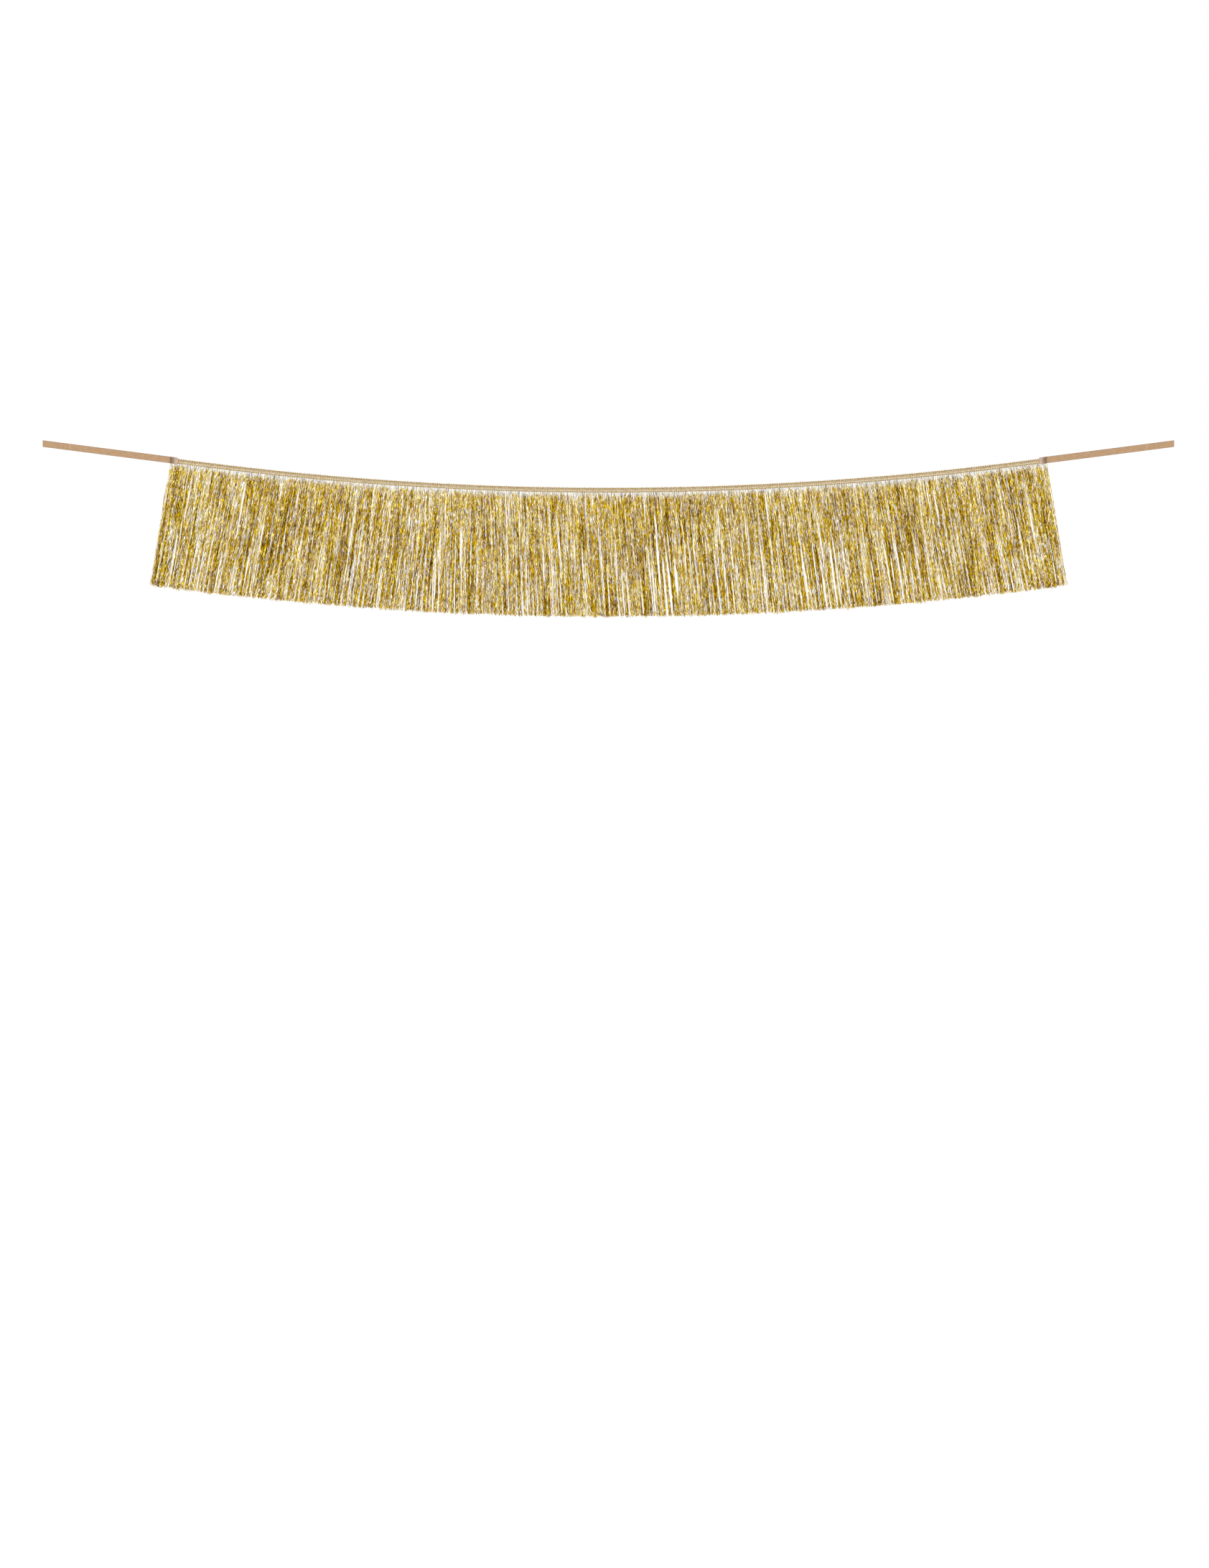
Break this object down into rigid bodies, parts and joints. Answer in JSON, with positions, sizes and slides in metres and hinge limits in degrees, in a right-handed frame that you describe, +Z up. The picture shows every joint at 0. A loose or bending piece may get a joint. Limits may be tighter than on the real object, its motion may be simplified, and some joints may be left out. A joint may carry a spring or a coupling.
{
  "type": "tinsel fringe garland",
  "caption": "Gold tinsel fringe garland: a knitted header tape in a shallow hanging arc, free-swinging strands and a ribbon tie at each end.",
  "frame": {"origin": "the middle of the header tape's back face, halfway along the garland", "axes": "+X along the garland, to the right from the front; the front faces -Y; +Z is up"},
  "size_m": [1.732, 0.0063, 0.2702],
  "materials": {
    "tinsel_film": "metallised gold film cut into crinkled strands, bright glints and dark olive shadows",
    "header_yarn": "knitted gold lurex yarn, open mesh",
    "chain_yarn": "gold lurex yarn in chain stitches, soft metallic sheen",
    "ribbon": "matte tan woven ribbon with firm selvedges",
    "tack_thread": "grey sewing thread in close bar-tack stitches"
  },
  "bodies": {
    "header": {"header_web": "header_yarn", "chain_stitch_top": "chain_yarn", "chain_stitch_middle": "chain_yarn", "chain_stitch_bottom": "chain_yarn", "ribbon_tie_left": "ribbon", "ribbon_tie_right": "ribbon", "bar_tack_left": "tack_thread", "bar_tack_right": "tack_thread"},
    "fringe_01": {"fringe_01": "tinsel_film"},
    "fringe_02": {"fringe_02": "tinsel_film"},
    "fringe_03": {"fringe_03": "tinsel_film"},
    "fringe_04": {"fringe_04": "tinsel_film"},
    "fringe_05": {"fringe_05": "tinsel_film"},
    "fringe_06": {"fringe_06": "tinsel_film"},
    "fringe_07": {"fringe_07": "tinsel_film"},
    "fringe_08": {"fringe_08": "tinsel_film"},
    "fringe_09": {"fringe_09": "tinsel_film"},
    "fringe_10": {"fringe_10": "tinsel_film"},
    "fringe_11": {"fringe_11": "tinsel_film"},
    "fringe_12": {"fringe_12": "tinsel_film"}
  },
  "joints": [
    {"name": "fringe_01_swing", "type": "hinge", "parent": "header", "child": "fringe_01", "pos_m": [-0.61844, -0.0004, 0.03244], "axis": [0.9921, 0, -0.1254], "range_deg": [-75, 75]},
    {"name": "fringe_02_swing", "type": "hinge", "parent": "header", "child": "fringe_02", "pos_m": [-0.50644, -0.0004, 0.01958], "axis": [0.9947, 0, -0.1027], "range_deg": [-75, 75]},
    {"name": "fringe_03_swing", "type": "hinge", "parent": "header", "child": "fringe_03", "pos_m": [-0.39417, -0.0004, 0.00928], "axis": [0.9968, 0, -0.0799], "range_deg": [-75, 75]},
    {"name": "fringe_04_swing", "type": "hinge", "parent": "header", "child": "fringe_04", "pos_m": [-0.2817, -0.0004, 0.00155], "axis": [0.9984, 0, -0.0571], "range_deg": [-75, 75]},
    {"name": "fringe_05_swing", "type": "hinge", "parent": "header", "child": "fringe_05", "pos_m": [-0.16908, -0.0004, -0.0036], "axis": [0.9994, 0, -0.0343], "range_deg": [-75, 75]},
    {"name": "fringe_06_swing", "type": "hinge", "parent": "header", "child": "fringe_06", "pos_m": [-0.05637, -0.0004, -0.00618], "axis": [0.9999, 0, -0.0114], "range_deg": [-75, 75]},
    {"name": "fringe_07_swing", "type": "hinge", "parent": "header", "child": "fringe_07", "pos_m": [0.05637, -0.0004, -0.00618], "axis": [0.9999, 0, 0.0114], "range_deg": [-75, 75]},
    {"name": "fringe_08_swing", "type": "hinge", "parent": "header", "child": "fringe_08", "pos_m": [0.16908, -0.0004, -0.0036], "axis": [0.9994, 0, 0.0343], "range_deg": [-75, 75]},
    {"name": "fringe_09_swing", "type": "hinge", "parent": "header", "child": "fringe_09", "pos_m": [0.2817, -0.0004, 0.00155], "axis": [0.9984, 0, 0.0571], "range_deg": [-75, 75]},
    {"name": "fringe_10_swing", "type": "hinge", "parent": "header", "child": "fringe_10", "pos_m": [0.39417, -0.0004, 0.00928], "axis": [0.9968, 0, 0.0799], "range_deg": [-75, 75]},
    {"name": "fringe_11_swing", "type": "hinge", "parent": "header", "child": "fringe_11", "pos_m": [0.50644, -0.0004, 0.01958], "axis": [0.9947, 0, 0.1027], "range_deg": [-75, 75]},
    {"name": "fringe_12_swing", "type": "hinge", "parent": "header", "child": "fringe_12", "pos_m": [0.61844, -0.0004, 0.03244], "axis": [0.9921, 0, 0.1254], "range_deg": [-75, 75]}
  ]
}
